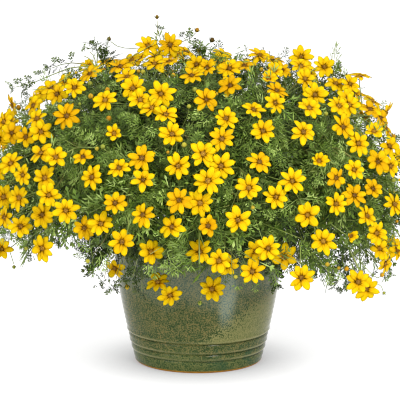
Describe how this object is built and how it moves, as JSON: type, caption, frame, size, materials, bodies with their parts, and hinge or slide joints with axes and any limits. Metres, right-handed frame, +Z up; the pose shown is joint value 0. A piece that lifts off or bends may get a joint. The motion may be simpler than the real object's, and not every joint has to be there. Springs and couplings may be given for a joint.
{
  "type": "potted fernleaf beggarticks",
  "caption": "Mounded ferny bedding plant covered in small yellow daisy-like flowers, growing in a round olive-green glazed pot with throwing grooves; stands on its flat base.",
  "frame": {"origin": "middle of the pot's flat underside, on the surface that it stands on", "axes": "+Z up along the pot's axis, -Y towards the side the picture shows"},
  "size_m": [0.5998, 0.6085, 0.4235],
  "materials": {
    "glaze": "satin",
    "potting_mix": "matte",
    "foliage": "matte",
    "petals": "matte"
  },
  "bodies": {
    "root": {"pot": "glaze", "soil": "potting_mix", "leafy_stem_01": "foliage", "leafy_stem_02": "foliage", "leafy_stem_03": "foliage", "leafy_stem_04": "foliage", "leafy_stem_05": "foliage", "leafy_stem_06": "foliage", "leafy_stem_07": "foliage", "leafy_stem_08": "foliage", "leafy_stem_09": "foliage", "leafy_stem_10": "foliage", "leafy_stem_11": "foliage", "leafy_stem_12": "foliage", "leafy_stem_13": "foliage", "leafy_stem_14": "foliage", "leafy_stem_15": "foliage", "leafy_stem_16": "foliage", "leafy_stem_17": "foliage", "leafy_stem_18": "foliage", "leafy_stem_19": "foliage", "leafy_stem_20": "foliage", "flower_spray_01": "petals", "flower_spray_02": "petals", "flower_spray_03": "petals", "flower_spray_04": "petals", "flower_spray_05": "petals", "flower_spray_06": "petals", "flower_spray_07": "petals", "flower_spray_08": "petals", "flower_spray_09": "petals", "flower_spray_10": "petals", "flower_spray_11": "petals", "flower_spray_12": "petals", "flower_spray_13": "petals", "flower_spray_14": "petals", "flower_spray_15": "petals", "flower_spray_16": "petals", "flower_spray_17": "petals", "flower_spray_18": "petals", "flower_spray_19": "petals", "flower_spray_20": "petals"}
  },
  "joints": []
}
